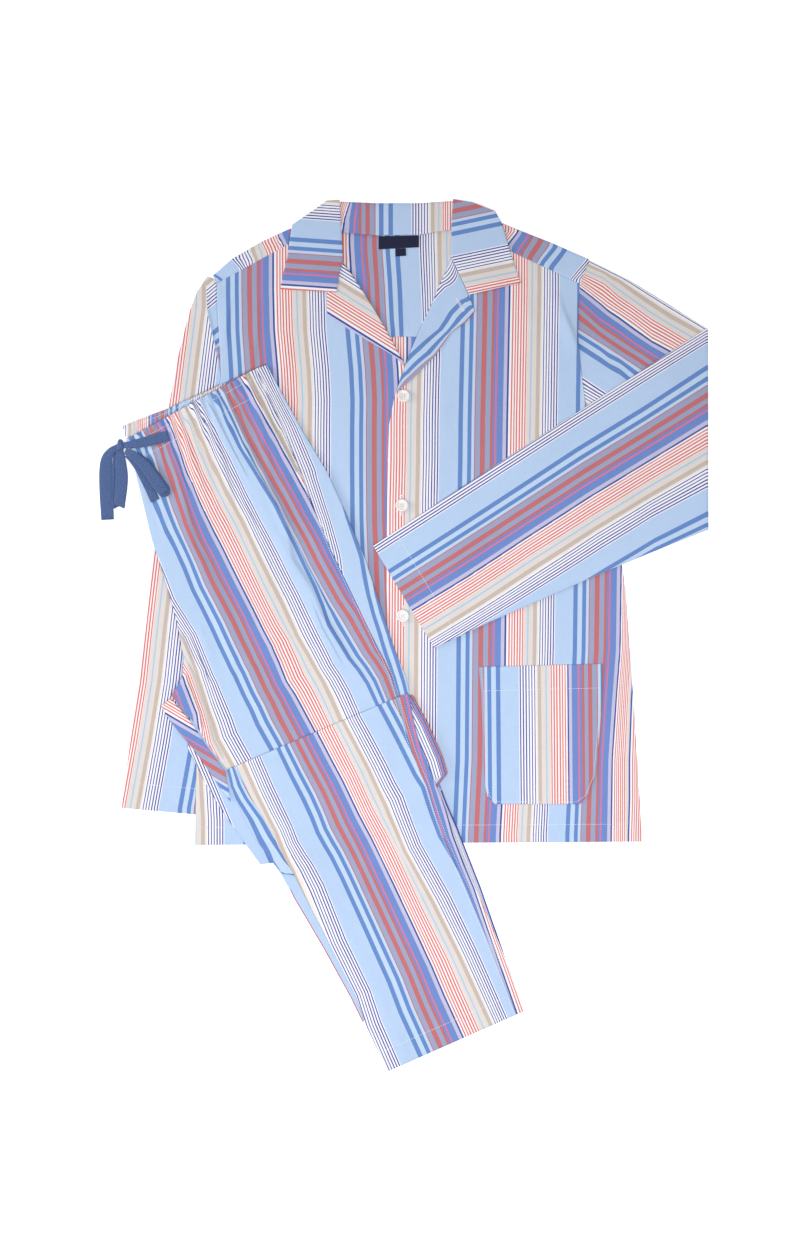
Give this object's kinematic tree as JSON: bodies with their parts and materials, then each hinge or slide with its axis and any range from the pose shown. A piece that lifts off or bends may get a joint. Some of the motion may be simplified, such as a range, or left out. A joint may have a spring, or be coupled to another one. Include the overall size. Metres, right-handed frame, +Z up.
{
  "type": "pyjama set",
  "caption": "Striped cotton pyjama set laid flat: open-collar button jacket with drawstring trousers folded across its lower corner.",
  "frame": {"origin": "centre of the laid-out garments seen from above, drawstring left out, on the surface they lie on", "axes": "+Y from the jacket's hem to its neck, +X to the jacket's left sleeve, +Z up from the surface"},
  "size_m": [0.7551, 1.089, 0.0138],
  "materials": {
    "shirting": "woven cotton poplin, multi-stripe",
    "tape": "woven cotton tape",
    "label": "woven satin label",
    "button": "pearl gloss"
  },
  "bodies": {
    "root": {"jacket_back": "shirting", "jacket_yoke": "shirting", "jacket_front_right": "shirting", "jacket_front_left": "shirting", "jacket_facing_right": "shirting", "jacket_facing_left": "shirting", "jacket_pocket": "shirting", "collar_stand": "shirting", "collar_leaf_right": "shirting", "collar_leaf_left": "shirting", "sleeve_right": "shirting", "sleeve_left": "shirting", "neck_label": "label", "size_tab": "label", "button_1": "button", "button_2": "button", "button_3": "button", "leg_front_upper": "shirting", "leg_back_upper": "shirting", "leg_front_lower": "shirting", "leg_inseam_lower": "shirting", "leg_back_lower": "shirting", "crotch_point": "shirting", "waist_back": "shirting", "trousers_hidden_layers": "shirting", "drawstring_lead": "tape", "drawstring_knot": "tape", "drawstring_loop_left": "tape", "drawstring_loop_right": "tape", "drawstring_end_left": "tape", "drawstring_end_right": "tape"}
  },
  "joints": []
}
